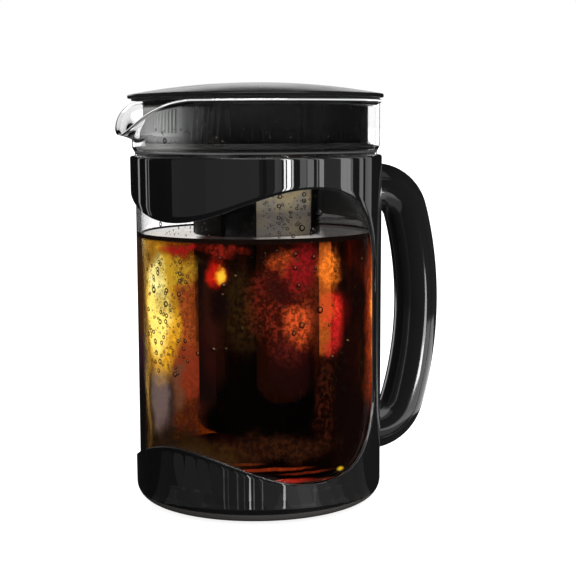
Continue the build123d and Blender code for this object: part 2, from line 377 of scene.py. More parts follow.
def windowHalf(turn):
    turn = turn % 360
    nearTurn = min(turn, 360 - turn)
    joinTurn = sleeve["spineHalf"] + sleeve["cornerTurn"]
    if nearTurn >= joinTurn:
        return waveHalf(turn)
    radius = sleeve["cornerRadius"]
    halfCorner = sleeve["cornerTurn"] / 2
    chord = 2 * sleeve["topRadius"] * math.sin(math.radians(halfCorner))
    side = waveHalf(joinTurn) - math.sqrt(2 * radius * chord - chord ** 2)
    if nearTurn <= sleeve["spineHalf"]:
        return side
    past = math.radians(nearTurn - sleeve["spineHalf"] - halfCorner)
    away = chord / 2 + sleeve["topRadius"] * math.sin(past)
    return side + math.sqrt(max(radius ** 2 - (radius - away) ** 2, 0))


def sleeveRadius(height):
    share = (height - sleeve["bottom"]) / (sleeve["top"] - sleeve["bottom"])
    return sleeve["baseRadius"] + share * (sleeve["topRadius"] - sleeve["baseRadius"])


def sleeveTurns():
    # The columns' turns: the handle's spine, then the window with its rounded ends set closer
    spine, corner = sleeve["spineHalf"], sleeve["cornerTurn"]
    flat, bend, far = sleeve["spineColumns"], sleeve["cornerColumns"], sleeve["farColumns"]
    turns = [-spine + 2 * spine * k / flat for k in range(flat)]
    turns += [spine + corner * (k / bend) ** 2 for k in range(bend)]
    rest = 360 - 2 * (spine + corner)
    turns += [spine + corner + rest * k / far for k in range(far)]
    turns += [360 - spine - corner * (k / bend) ** 2 for k in range(bend, 0, -1)]
    return turns + [360 - spine]


def sleeveFoot(roundTop):
    # The rows below the wall: the pad's seat and the rounded foot
    bottom, seat, bend = sleeve["bottom"], sleeve["seatRadius"], sleeve["bottomRound"]
    seatTop = bottom + sleeve["seatDepth"]
    foot = [(0, seatTop), (sleeve["floorRing"], seatTop), (seat, seatTop), (seat, bottom)]
    middle = (sleeveRadius(roundTop) - bend, roundTop)
    return foot + arcOf(middle, bend, -90, 0, sleeve["roundSteps"])


def makeSleeve():
    turns = sleeveTurns()
    roundTop = sleeve["bottom"] + sleeve["bottomRound"]
    foot = sleeveFoot(roundTop)
    lowRows, midRows, highRows = sleeve["lowRows"], sleeve["midRows"], sleeve["highRows"]
    rows = len(foot) - 1 + lowRows + midRows + highRows
    firstMid = len(foot) - 1 + lowRows
    piece = sheet("sleeveShell", len(turns) - 1, rows)

    def inWindow(middle):
        column, row = int(middle.x), middle.y
        return column >= sleeve["spineColumns"] and firstMid < row < firstMid + midRows

    pickParts(piece, "faces", inWindow)
    bpy.ops.mesh.delete(type="FACE")
    bpy.ops.object.mode_set(mode="OBJECT")

    def wrapped(v):
        turn, row = turns[int(round(v.x))], int(round(v.y))
        half = windowHalf(turn)
        low, high = sleeve["windowMiddle"] - half, sleeve["windowMiddle"] + half
        if row < len(foot):
            radius, height = foot[row]
        elif row <= firstMid:
            share = (row - len(foot) + 1) / lowRows
            height = roundTop + share * (low - roundTop)
            radius = sleeveRadius(height)
        elif row <= firstMid + midRows:
            height = low + (row - firstMid) / midRows * (high - low)
            radius = sleeveRadius(height)
        else:
            height = high + (row - firstMid - midRows) / highRows * (sleeve["top"] - high)
            radius = sleeveRadius(height)
        return around(radius, -turn, height)

    reshape(piece, wrapped)
    edit(piece)
    welded()
    faced()
    modify(piece, "SOLIDIFY", thickness=sleeve["wall"] * mm, offset=-1, use_even_offset=True)

    def boreTrue(v):
        # Inner points above the foot go out to the bore
        across = math.hypot(v.x, v.y)
        inner = across < (sleeveRadius(v.z / mm) - sleeve["boreDepth"]) * mm
        if inner and v.z > (roundTop - sleeve["boreBelow"]) * mm:
            grown = sleeve["bore"] * mm / across
            return Vector((v.x * grown, v.y * grown, v.z))
        return v

    reshape(piece, boreTrue)

    def onRim(middle):
        outer = math.hypot(middle.x, middle.y) > (sleeve["topRadius"] - sleeve["rimBand"]) * mm
        return outer and middle.z > (sleeve["top"] - sleeve["rimDepth"]) * mm

    pickParts(piece, "edges", onRim)
    bpy.ops.mesh.bevel(offset=sleeve["rimRound"] * mm, segments=4, affect="EDGES")
    bpy.ops.object.mode_set(mode="OBJECT")
    rounded(piece, sleeve["edgeRound"], segments=3, angle=40)
    smooth(piece, angle=40)
    return piece


sleeveShell = makeSleeve()
print("sleeve shaped:", len(sleeveShell.data.polygons), "faces")


# Handle: an oval grip in two shells, swept along three arcs
handle = {
    "start": (62.15, 158.5),
    "bendStart": 66.5,
    "arcs": [(18.4, 74.4), (178.8, 33.2), (19.1, 72.4)],
    "lowerRoot": 61.7,
    "thick": 23.2,
    "wide": 22.0,
    "coverDepth": 7.5,
    "seamRound": 0.38,
    "seamSteps": 44,
    "rows": 84,
}


def gripPoint(travel):
    # Where the grip's middle line is after so many millimetres, and which way it heads
    x, z = handle["start"]
    heading = 0.0
    straight = handle["bendStart"] - x
    if travel <= straight:
        return x + travel, z, heading
    travel -= straight
    x = handle["bendStart"]
    for radius, angle in handle["arcs"]:
        length = radius * math.radians(angle)
        centreX, centreZ = x + radius * math.sin(heading), z - radius * math.cos(heading)
        turn = min(travel, length) / radius
        heading -= turn
        x, z = centreX - radius * math.sin(heading), centreZ + radius * math.cos(heading)
        if travel <= length:
            return x, z, heading
        travel -= length
    return x + travel * math.cos(heading), z + travel * math.sin(heading), heading


def gripLength():
    bends = sum(radius * math.radians(angle) for radius, angle in handle["arcs"])
    whole = handle["bendStart"] - handle["start"][0] + bends
    lastX = gripPoint(whole)[0]
    return whole + lastX - handle["lowerRoot"]


def makeGrip(name, start, end):
    # One shell: the oval's arc between two angles, closed along the seam
    steps, rows = handle["seamSteps"], handle["rows"]
    seam = []
    for step in range(steps + 1):
        a = math.radians(start + (end - start) * step / steps)
        seam.append((handle["wide"] / 2 * math.cos(a), handle["thick"] / 2 * math.sin(a)))
    seam.append(seam[0])
    whole = gripLength()
    piece = sheet(name, len(seam) - 1, rows)

    def swept(v):
        x, z, heading = gripPoint(whole * v.y / rows)
        across, out = seam[int(round(v.x))]
        return Vector((x - out * math.sin(heading), across, z + out * math.cos(heading))) * mm

    reshape(piece, swept)
    edit(piece)
    welded()
    bpy.ops.mesh.select_all(action="SELECT")
    bpy.ops.mesh.fill_holes(sides=0)
    faced()
    rounded(piece, handle["seamRound"], segments=3, angle=35)
    smooth(piece, angle=40)
    return piece


seamAngle = math.degrees(math.asin(1 - 2 * handle["coverDepth"] / handle["thick"]))
gripBody = makeGrip("gripBody", seamAngle, -180 - seamAngle)
gripCover = makeGrip("gripCover", seamAngle, 180 - seamAngle)
print("handle shaped")


# Glass carafe: one blown wall, thicker at the foot, its rim drawn out into a spout
glass = {
    "base": 6.0,
    "body": 60.9,
    "neck": 62.4,
    "wall": 2.3,
    "neckWall": 2.2,
    "floor": 4.0,
    "corner": 11.0,
    "shoulderLow": 176.2,
    "shoulderHigh": 180.0,
    "rim": 203.0,
    "flare": 0.15,
    "bead": 0.7,
    "beadRound": 1.1,
    "spoutHalf": 40.0,
    "spoutDip": 17.0,
    "spoutSpread": 22.5,
    "spoutReach": 8.17,
    "leanStart": 0.42,
    "leanEnd": 0.93,
    "leanEven": 0.65,
    "lineHeight": 201.9,
    "lineHalf": 0.44,
    "floorRing": 30.0,
    "wallRows": (60, 110, 150),
    "roundSteps": 12,
    "stepRows": 6,
    "neckRows": 9,
    "rimDrop": 2.4,
    "beadStart": -48.0,
    "innerLip": ((0.6, 0.16), (0.2, 0.6)),
}


def glassProfile():
    base, body, neck, corner = [glass[key] for key in ("base", "body", "neck", "corner")]
    low, high, rim = glass["shoulderLow"], glass["shoulderHigh"], glass["rim"]
    inside, neckInside = body - glass["wall"], neck - glass["neckWall"]
    innerRound, floorTop, steps = corner - glass["wall"], base + glass["floor"], glass["roundSteps"]

    def shoulder(start, end):
        shares = [k / glass["stepRows"] for k in range(glass["stepRows"] + 1)]
        return [(start + eased(s) * (end - start), low + s * (high - low)) for s in shares]

    tall, count, bend = rim - glass["rimDrop"] - high, glass["neckRows"], glass["beadRound"]
    neckRows = [high + tall * k / count for k in range(1, count + 1)]
    bead = neck + glass["flare"] + glass["bead"]
    points = [(0, base), (glass["floorRing"], base)]
    points += arcOf((body - corner, base + corner), corner, -90, 0, steps)
    points += [(body, z) for z in glass["wallRows"]]
    points += shoulder(body, neck) + [(neck, z) for z in neckRows]
    points += arcOf((bead - bend, rim - bend), bend, glass["beadStart"], 90, steps)
    points += [(neckInside + inward, rim - down) for inward, down in glass["innerLip"]]
    points += [(neckInside, z) for z in reversed(neckRows)]
    points += list(reversed(shoulder(inside, neckInside)))
    points += [(inside, z) for z in reversed(glass["wallRows"])]
    points += arcOf((body - corner, floorTop + innerRound), innerRound, 0, -90, steps)
    return points + [(glass["floorRing"], floorTop), (0, floorTop)]


def spoutLean(off):
    # How far the rim dips and leans out, at an angle from the spout's middle
    if abs(off) >= glass["spoutHalf"]:
        return 0.0, 0.0
    tail = math.exp(-((glass["spoutHalf"] / glass["spoutSpread"]) ** 2))
    dip = (math.exp(-((off / glass["spoutSpread"]) ** 2)) - tail) / (1 - tail)
    out = math.cos(math.pi / 2 * off / glass["spoutHalf"])
    return glass["spoutDip"] * dip, glass["spoutReach"] * out


def spoutDrawn(v):
    # The neck's wall leans out and its rim dips towards the spout's middle
    high, rim = glass["shoulderHigh"], glass["rim"]
    height = v.z / mm
    off = math.degrees(math.atan2(v.y, -v.x))
    if height <= high or abs(off) >= glass["spoutHalf"]:
        return v
    dip, out = spoutLean(off)
    share = (height - high) / (rim - high)
    lean = (share - glass["leanStart"]) / (glass["leanEnd"] - glass["leanStart"])
    lean = min(max(lean, 0.0), 1.0)
    lean = glass["leanEven"] * lean + (1 - glass["leanEven"]) * lean * lean
    across = math.hypot(v.x, v.y)
    grown = (across + out * lean * mm) / across
    return Vector((v.x * grown, v.y * grown, (high + share * (rim - dip - high)) * mm))


def markRim(piece):
    # How near each vertex is to the line of the bead's painted highlight, kept as the piece's own
    # attribute
    marks = piece.data.attributes.new("rimLine", "FLOAT", "POINT")
    for vertex in piece.data.vertices:
        off = abs(vertex.co.z / mm - glass["lineHeight"]) / glass["lineHalf"]
        outside = math.hypot(vertex.co.x, vertex.co.y) / mm > glass["neck"] + glass["flare"]
        marks.data[vertex.index].value = max(1 - off * off, 0.0) if outside else 0.0


carafeGlass = turned("carafeGlass", glassProfile(), steps=216, closed=False)
markRim(carafeGlass)
reshape(carafeGlass, spoutDrawn)
smooth(carafeGlass, angle=60)
print("glass shaped:", len(carafeGlass.data.polygons), "faces")


# Lid: a shallow dome over a plug that carries the pour strainer and the filter
lid = {
    "radius": 64.3,
    "under": 203.6,
    "edge": 1.8,
    "top": 211.4,
    "shell": 2.4,
    "crown": 2.06,
    "ribInner": 49.6,
    "ribOuter": 52.2,
    "ribDepth": 4.0,
    "edgeRound": 0.6,
    "domeRows": 20,
}


def lidProfile():
    radius, under, top, rows = [lid[key] for key in ("radius", "under", "top", "domeRows")]
    inner, outer, foot = lid["ribInner"], lid["ribOuter"], under - lid["ribDepth"]
    rise = top - under - lid["edge"]
    dome = [(radius * k / rows, top - rise * (k / rows) ** lid["crown"]) for k in range(rows + 1)]
    below = [(radius, under), (outer, under), (outer, foot), (inner, foot), (inner, under)]
    return dome + below + [(0, top - lid["shell"])]


lidDome = turned("lidDome", lidProfile(), steps=192, closed=False)
rounded(lidDome, lid["edgeRound"], segments=4, angle=35)
smooth(lidDome, angle=35)
lidPlug = copied("lidPlug", "lid_plug")
pourStrainer = copied("pourStrainer", "pour_strainer")
lidGasket = copied("lidGasket", "lid_gasket")

seal = {
    "inner": 55.08,
    "body": 57.9,
    "lip": 59.75,
    "low": 178.7,
    "high": 181.6,
    "lipLow": 179.4,
    "lipHigh": 180.2,
    "lipUnder": 0.2,
    "lipOver": 0.3,
    "taper": 0.6,
    "edgeRound": 0.18,
}
sealProfile = [
    (seal["inner"], seal["low"]),
    (seal["body"], seal["low"]),
    (seal["body"], seal["lipLow"] - seal["lipUnder"]),
    (seal["lip"], seal["lipLow"]),
    (seal["lip"], seal["lipHigh"]),
    (seal["body"], seal["lipHigh"] + seal["lipOver"]),
    (seal["body"] - seal["taper"], seal["high"]),
    (seal["inner"], seal["high"]),
]
lipSeal = turned("lipSeal", sealProfile, steps=160)
rounded(lipSeal, seal["edgeRound"], segments=2, angle=25)
smooth(lipSeal, angle=35)
print("lid shaped")


# Filter: a ribbed frame with four mesh windows, hung from a collar, with a cap below
cap = {
    "low": 36.0,
    "radius": 31.2,
    "round": 6.0,
    "floor": 2.0,
    "joint": 45.0,
    "spigot": 28.9,
    "bore": 25.5,
    "spigotTop": 50.0,
    "sealLow": 46.2,
    "sealHigh": 47.6,
    "sealInner": 27.6,
    "edgeRound": 0.3,
    "roundSteps": 10,
}
capMiddle = (cap["radius"] - cap["round"], cap["low"] + cap["round"])
capProfile = [(0, cap["low"])] + arcOf(capMiddle, cap["round"], -90, 0, cap["roundSteps"])
capProfile += [
    (cap["radius"], cap["joint"]),
    (cap["spigot"], cap["joint"]),
    (cap["spigot"], cap["sealLow"]),
    (cap["sealInner"], cap["sealLow"]),
    (cap["sealInner"], cap["sealHigh"]),
    (cap["spigot"], cap["sealHigh"]),
    (cap["spigot"], cap["spigotTop"]),
    (cap["bore"], cap["spigotTop"]),
    (cap["bore"], cap["low"] + cap["floor"]),
    (0, cap["low"] + cap["floor"]),
]
filterCap = turned("filterCap", capProfile, steps=160, closed=False)
rounded(filterCap, cap["edgeRound"], segments=2, angle=35)
smooth(filterCap, angle=35)
filterFrame = copied("filterFrame", "filter_frame")
filterCollar = copied("filterCollar", "filter_collar")
meshPanels = [copied("meshPanel" + str(k), "filter_mesh_" + str(k)) for k in (1, 2, 3, 4)]
print("filter shaped")


# Base: a soft foot pad under the sleeve and a cushion under the glass
base = {
    "pad": [
        (0, 0), (44, 0), (46, 0.5), (47, 0.5), (49, 0), (51.5, 0), (52, 0.5), (52, 2.4), (0, 2.4),
    ],
    "padRound": 0.25,
    "cushion": [(22, 4), (49, 4), (49, 6), (22, 6)],
    "cushionRound": 0.5,
}
footPad = turned("footPad", base["pad"], steps=160, closed=False)
rounded(footPad, base["padRound"], segments=2, angle=12)
smooth(footPad, angle=30)
baseCushion = turned("baseCushion", base["cushion"], steps=128)
rounded(baseCushion, base["cushionRound"], segments=3, angle=40)
smooth(baseCushion, angle=40)
print("base shaped")


# Cold brew: what the carafe holds, up to a level below the lid
brew = {
    "radius": 58.75,
    "floor": 9.85,
    "round": 8.5,
    "level": 136.0,
    "creep": 1.3,
    "creepReach": 2.6,
    "creepBend": 2.6,
    "creepRows": 6,
    "roundSteps": 10,
}


def brewProfile():
    # The brew creeps up the glass at its edge
    radius, floor, bend, level = [brew[key] for key in ("radius", "floor", "round", "level")]
    points = [(0, floor)]
    points += arcOf((radius - bend, floor + bend), bend, -90, 0, brew["roundSteps"])
    for row in range(brew["creepRows"] + 1):
        share = row / brew["creepRows"]
        creep = brew["creep"] * (1 - share) ** brew["creepBend"]
        points.append((radius - brew["creepReach"] * share, level + creep))
    return points + [(0, level)]


coldBrew = turned("coldBrew", brewProfile(), steps=192, closed=False)
smooth(coldBrew, angle=50)
print("cold brew poured")

coffee = {
    "tint": (0.8, 0.6, 0.0, 1.0),
    "density": 92.0,
    "faceTurn": -112.0,
    "stirTurn": 20.0,
    "stirHeight": 22.0,
    "stirFine": 9.0,
    "stirThin": 3.0,
    "slow": (24.0, 4.0, 0.62, (1, 1, 0.7)),
    "quick": (75.0, 5.0, 0.7),
    "rise": (33.0, 4.0, 0.62, (1, 1, 1.2)),
    "foam": (460.0, 3.0, 0.7),
    "spread": 0.62,
    "falling": 2.2,
    "boxed": 0.5,
    "thin": 2.0,
    "crisp": 0.2,
    "deep": (0.012, 0.003, 0.001),
    "column": (26.0, 4.0, 0.62, (1, 1, 0.16)),
    "backTurn": (92.0, 118.0),
    "backMiddle": 90.0,
    "backHalf": (20.0, 50.0),
    "ember": ((0.02, 0.004, 0.0015), (0.6, 0.12, 0.012), (0.95, 0.5, 0.06)),
    "topStart": (135.0, 136.2),
    "topReflectionGrey": ((0.16, 0.15, 0.14), (0.5, 0.48, 0.46)),
    "topReflectionFront": (-30.0, -26.0),
    "frontTone": (0.9, 0.89, 0.88),
    "topReflectionBack": (29.0, 35.0),
    "backTone": (0.05, 0.047, 0.045),
    "shadeMiddle": 13.0,
    "shadeHalf": (11.0, 16.0),
    "shadeTone": (0.012, 0.008, 0.006),
    "lineOut": (57.2, 57.9),
    "lineStart": (134.4, 135.4),
    "lineTone": (0.006, 0.003, 0.002),
}

# Bubbles under the glass and drops above the brew, each a shallow dome
bubble = {
    "seat": 58.88,
    "drySeat": 58.5,
    "neckSeat": 60.1,
    "swell": 0.09,
    "flattest": 0.5,
    "grow": 1.18,
    "fewLarge": 2.5,
    "slices": 10,
    "rings": 8,
    "ring": (0.78, 0.9),
    "ringCover": 0.96,
    "inner": (0.52, 0.6),
    "glintRise": 0.84,
    "glintTall": (0.02, 0.08),
    "glintTurn": 0.62,
    "glintWide": (0.05, 0.2),
    "dryEdge": (136.0, 137.5),
    "dark": (0.003, 0.0015, 0.001),
    "rimTones": ((0.04, 0.014, 0.005), (0.02, 0.02, 0.02)),
    "glintTones": ((0.4, 0.24, 0.12), (0.25, 0.25, 0.25)),
}
# Turn from the front, height, radius
largeBubbles = [
    (-55.7, 110.8, 1.52), (-46.2, 104.8, 1.35), (-50, 124, 1.01), (-52, 119.4, 1.09),
    (-61.6, 100.7, 1.01), (-50.2, 100.4, 0.93), (-50.8, 95.7, 1.18), (-54.2, 80, 1.09),
    (-51.4, 76.1, 1.18), (-48.3, 88.4, 0.93), (-49.9, 85.5, 1.01), (-58.8, 87.6, 0.84),
    (-52.6, 71.4, 1.01), (-33.5, 116.4, 0.84), (-33, 78.2, 0.84), (-32.4, 119, 0.76),
    (-14.2, 115.4, 1.18), (-14.7, 111, 0.93), (-8.7, 119.8, 1.18), (-15.8, 128.3, 0.76),
    (21.9, 96.1, 1.35), (31.2, 102.7, 1.52), (20.4, 115, 1.01), (27.9, 128.2, 1.09),
    (18.9, 129.9, 1.01), (47.8, 85.8, 1.52), (59.6, 124.9, 1.09), (18.7, 123.4, 1.01),
    (38, 79.4, 1.18), (-13.4, 85.2, 0.93), (-19.3, 84.7, 1.35), (18, 92.2, 0.93),
    (36.4, 95.2, 0.76), (40.1, 121.2, 0.76), (28.9, 122.9, 0.84), (-27.3, 82.4, 1.01),
    (38.4, 104.5, 0.67), (-5.8, 95.3, 0.67), (-43.3, 102.1, 0.76), (-56.1, 97.3, 0.76),
    (12, 157.1, 0.98), (11.4, 152.7, 0.98), (23.4, 157.9, 0.98), (23.2, 154.9, 0.89),
    (22.3, 142.1, 1.34), (27.5, 141, 1.07), (31.4, 149, 1.42), (18, 138.4, 0.8),
    (15.3, 142, 0.71), (11.2, 147.2, 0.8), (-21, 138.6, 0.71), (-49.6, 143.2, 1.07),
]
neckDrops = [
    (-43.7, 183.1, 1.16), (-16.5, 184.1, 1.16), (-19.5, 186.7, 0.71), (-19.6, 182.5, 0.8),
    (-13.7, 182.4, 0.98), (7.3, 184.2, 0.71), (16.4, 184.1, 0.89), (5.6, 186.5, 0.62),
    (34.9, 184.5, 0.8), (53.1, 188.4, 0.8),
]
# Turn range, height range, count, radius range, seat
bubbleFields = [
    (-63, -34, 70, 128, 130, 0.35, 1.15, "seat"),
    (-64, -30, 84, 126, 190, 0.22, 0.45, "seat"),
    (3, 31, 138.2, 158, 110, 0.25, 0.75, "drySeat"),
    (2, 33, 88, 132, 190, 0.2, 0.5, "seat"),
    (12, 28, 86, 106, 90, 0.14, 0.34, "seat"),
    (33, 46, 60, 100, 90, 0.14, 0.4, "seat"),
    (-26, 2, 84, 132, 60, 0.14, 0.4, "seat"),
    (-46, -22, 138.2, 145, 30, 0.2, 0.45, "drySeat"),
    (34, 62, 102, 133, 40, 0.14, 0.45, "seat"),
    (-45, -30, 40, 70, 40, 0.12, 0.3, "seat"),
    (64, 292, 62, 134, 260, 0.16, 0.9, "seat"),
    (-52, 0, 181.5, 189, 34, 0.2, 0.6, "neckSeat"),
    (8, 60, 182, 194, 22, 0.2, 0.5, "neckSeat"),
    (70, 290, 182, 192, 50, 0.2, 0.7, "neckSeat"),
]


def makeBubbles(name, places):
    clearSelection()
    slices, rings = bubble["slices"], bubble["rings"]
    bpy.ops.mesh.primitive_uv_sphere_add(segments=slices, ring_count=rings, radius=1)
    dome = started(name)
    pickParts(dome, "verts", lambda m: m.z < -0.1)
    bpy.ops.mesh.delete(type="VERT")
    bpy.ops.object.mode_set(mode="OBJECT")
    drops = []
    for turn, height, radius, seat in places:
        drop = dome.copy()
        drop.data = dome.data.copy()
        heading = math.radians(turn + coffee["faceTurn"])
        outward = Vector((math.cos(heading), math.sin(heading), 0))
        stand = outward.to_track_quat("Z", "Y").to_matrix().to_4x4()
        swell = min(bubble["swell"], radius * bubble["flattest"])
        wide = radius * bubble["grow"] * mm
        size = Matrix.Diagonal((wide, wide, swell * mm, 1))
        place = outward * (seat - swell / 2) * mm + Vector((0, 0, height * mm))
        drop.matrix_world = Matrix.Translation(place) @ stand @ size
        bpy.context.scene.collection.objects.link(drop)
        drops.append(drop)
    clearSelection()
    for drop in drops:
        drop.select_set(True)
    bpy.context.view_layer.objects.active = drops[0]
    bpy.ops.object.join()
    bpy.ops.object.transform_apply(location=True, rotation=True, scale=True)
    bpy.data.objects.remove(dome)
    piece = started(name)
    bpy.ops.object.shade_smooth()
    return piece


def bubblePlaces():
    places = []
    for drop in largeBubbles:
        places.append((*drop, bubble["seat" if drop[1] < brew["level"] else "drySeat"]))
    places += [(*drop, bubble["neckSeat"]) for drop in neckDrops]
    for first, last, low, high, count, small, big, seat in bubbleFields:
        for _ in range(count):
            radius = small + (big - small) * random.random() ** bubble["fewLarge"]
            turn, height = random.uniform(first, last), random.uniform(low, high)
            places.append((turn, height, radius, bubble[seat]))
    return places


brewBubbles = makeBubbles("brewBubbles", bubblePlaces())
print("bubbles set:", len(brewBubbles.data.polygons), "faces")


# Finishes: what the gloss blacks share, where a look does not set its own
gloss = {
    "grainScale": 900.0,
    "grain": 0.3,
    "bump": 0.05,
    "ior": 1.5,
    "paleTop": (198.5, 199.5),
    "paleSteep": 0.88,
    "innerTone": (0.052, 0.048, 0.045),
    "innerRough": 0.4,
}


def glossBlack(name, own):
    # Polished moulded plastic: near black, faint flow marks, a few soft wipe marks in the gloss
    look = {**gloss, **own}
    paint = Finish(name)
    flow = paint.noise(look["flowScale"], 3.0, 0.55, (1, 1, 0.35))
    wipe = paint.noise(look["wipeScale"], 5.0, 0.6, (1, 1, 0.2))
    grain = paint.noise(look["grainScale"], 2.0, 0.5)
    tone = paint.blend(paint.span(flow, 0.3, 0.75), look["dark"], look["light"])
    rough = paint.span(wipe, 0.35, 0.85, *look["rough"])
    x, y, z = paint.spot()
    if "paler" in look:
        # Painted light: paler towards the spout, where light comes in, but not above the rim
        side, steep = paint.edge(x, look["paler"], 1.0, 0.0), look["paleSteep"]
        pale = side ** look["fading"] * steep + side * (1 - steep)
        pale = pale * paint.edge(z, look["paleTop"], 1.0, 0.0)
        tone = paint.blend(pale, tone, look["palest"])
    if "inside" in look:
        # The wall's unseen side is left as it comes from the mould, satin and greyer
        inner = paint.edge(paint.fromAxis(x, y), look["inside"], 1.0, 0.0)
        tone = paint.blend(inner, tone, look["innerTone"])
        rough = rough + inner * look["innerRough"]
    return paint.surface({
        "Base Color": tone,
        "Roughness": rough,
        "IOR": look["ior"],
        "Normal": paint.bump(flow * 0.7 + grain * look["grain"], look["bump"] * mm, 0.5),
    })


sleeveBlack = glossBlack("sleeveBlack", {
    "dark": (0.0035, 0.0035, 0.0038),
    "light": (0.006, 0.006, 0.0065),
    "rough": (0.02, 0.05),
    "flowScale": 14.0,
    "wipeScale": 30.0,
    "grain": 0.02,
    "inside": (61.7, 62.0),
})
handleBlack = glossBlack("handleBlack", {
    "dark": (0.008, 0.008, 0.0083),
    "light": (0.012, 0.012, 0.0124),
    "rough": (0.07, 0.13),
    "flowScale": 22.0,
    "wipeScale": 40.0,
    "grain": 0.03,
})
lidBlack = glossBlack("lidBlack", {
    "dark": (0.012, 0.012, 0.0125),
    "light": (0.02, 0.02, 0.021),
    "rough": (0.16, 0.24),
    "flowScale": 20.0,
    "wipeScale": 26.0,
    "grain": 0.12,
})
plugBlack = glossBlack("plugBlack", {
    "dark": (0.006, 0.006, 0.0062),
    "light": (0.014, 0.014, 0.0143),
    "paler": (-58.0, -31.0),
    "fading": 4.0,
    "palest": (0.62, 0.62, 0.625),
    "rough": (0.22, 0.36),
    "flowScale": 26.0,
    "wipeScale": 40.0,
    "bump": 0.06,
    "ior": 1.48,
})
strainerGrey = glossBlack("strainerGrey", {
    "dark": (0.1, 0.1, 0.1),
    "light": (0.14, 0.14, 0.14),
    "paler": (-57.0, -44.0),
    "fading": 1.8,
    "palest": (0.95, 0.95, 0.95),
    "rough": (0.28, 0.4),
    "flowScale": 30.0,
    "wipeScale": 50.0,
    "ior": 1.47,
})
filterBlack = glossBlack("filterBlack", {
    "dark": (0.004, 0.0035, 0.0035),
    "light": (0.009, 0.008, 0.008),
    "rough": (0.14, 0.26),
    "flowScale": 30.0,
    "wipeScale": 60.0,
    "grain": 0.25,
})

rubber = {
    "cloudScale": 60.0,
    "grainScale": 1400.0,
    "roughSpread": 0.12,
    "paler": (-58.0, -34.0),
    "ior": 1.41,
    "bump": 0.05,
}


def softRubber(name, dark, light, rough, paler=None):
    # Moulded silicone: dull, with a fine powdery grain
    paint = Finish(name)
    cloud = paint.noise(rubber["cloudScale"], 3.0)
    grain = paint.noise(rubber["grainScale"], 2.0)
    tone = paint.blend(paint.span(cloud, 0.3, 0.75), dark, light)
    if paler:
        # Painted light: the lip is paler towards the spout, where light comes in
        side = paint.edge(paint.spot()[0], rubber["paler"], 1.0, 0.0)
        tone = paint.blend(side ** 3, tone, paler)
    return paint.surface({
        "Base Color": tone,
        "Roughness": paint.span(cloud, 0.3, 0.8, rough, rough + rubber["roughSpread"]),
        "IOR": rubber["ior"],
        "Normal": paint.bump(grain, rubber["bump"] * mm, 0.35),
    })


softBlack = softRubber(
    "softBlack", (0.012, 0.012, 0.012), (0.022, 0.022, 0.022), 0.5, (0.45, 0.45, 0.44),
)
softGrey = softRubber("softGrey", (0.05, 0.05, 0.052), (0.09, 0.09, 0.092), 0.55)
softClear = softRubber("softClear", (0.02, 0.02, 0.021), (0.035, 0.035, 0.036), 0.4)


clearGlass = {
    "wave": (18.0, 2.0, 0.4, (1, 1, 0.3)),
    "smear": (50.0, 4.0, 0.6, (1, 1, 0.25)),
    "ior": 1.47,
    "lineTone": (0.98, 0.98, 0.98),
    "stepHeight": 177.2,
    "stepHalf": (0.2, 0.6),
    "stepGlow": 0.05,
}


def carafeGlassFinish():
    # Clear blown glass: a trace of waviness and a few faint smears, with a painted highlight along
    # the rim's bead and a faint painted highlight at the neck's step
    paint = Finish("carafeClear")
    wave, smear = paint.noise(*clearGlass["wave"]), paint.noise(*clearGlass["smear"])
    # Painted highlights given as emission: a line along the rim's bead and a faint one at the
    # neck's step
    line = paint.add("Attribute", {"attribute_name": "rimLine"}, None, "Fac")
    away = abs(paint.spot()[2] - clearGlass["stepHeight"] * mm)
    step = paint.edge(away, clearGlass["stepHalf"], clearGlass["stepGlow"], 0.0)
    shine = paint.blend(line, (0.0, 0.0, 0.0), clearGlass["lineTone"])
    return paint.surface({
        "Emission Color": paint.blend(step, shine, (1.0, 1.0, 1.0)),
        "Emission Strength": 1.0,
        "Base Color": (1.0, 1.0, 1.0, 1.0),
        "Roughness": paint.span(smear, 0.62, 0.95, 0.0, 0.02),
        "IOR": clearGlass["ior"],
        "Transmission Weight": 1.0,
        "Normal": paint.bump(wave, 0.02 * mm, 0.1),
    })


carafeClear = carafeGlassFinish()
carafeClear.cycles.emission_sampling = "NONE"

cloth = {
    "pitch": 0.32,
    "radius": 32.0,
    "facingTurn": -92.0,
    "facingHalf": (0.62, 0.78),
    "wetEdge": (134.0, 138.0),
    "paleEdge": (146.0, 154.0),
    # Painted light and shade: hidden is the side away from the light; wet, dry and high are the
    # side that faces it; glow is a painted glow there
    "hidden": (0.006, 0.004, 0.003),
    "wet": (0.05, 0.018, 0.02),
    "dry": ((0.18, 0.155, 0.14), (0.34, 0.28, 0.15)),
    "high": ((0.52, 0.47, 0.38), (0.95, 0.8, 0.42)),
    "thread": (0.06, 0.05, 0.042),
    "glow": (0.04, 0.036, 0.032),
}


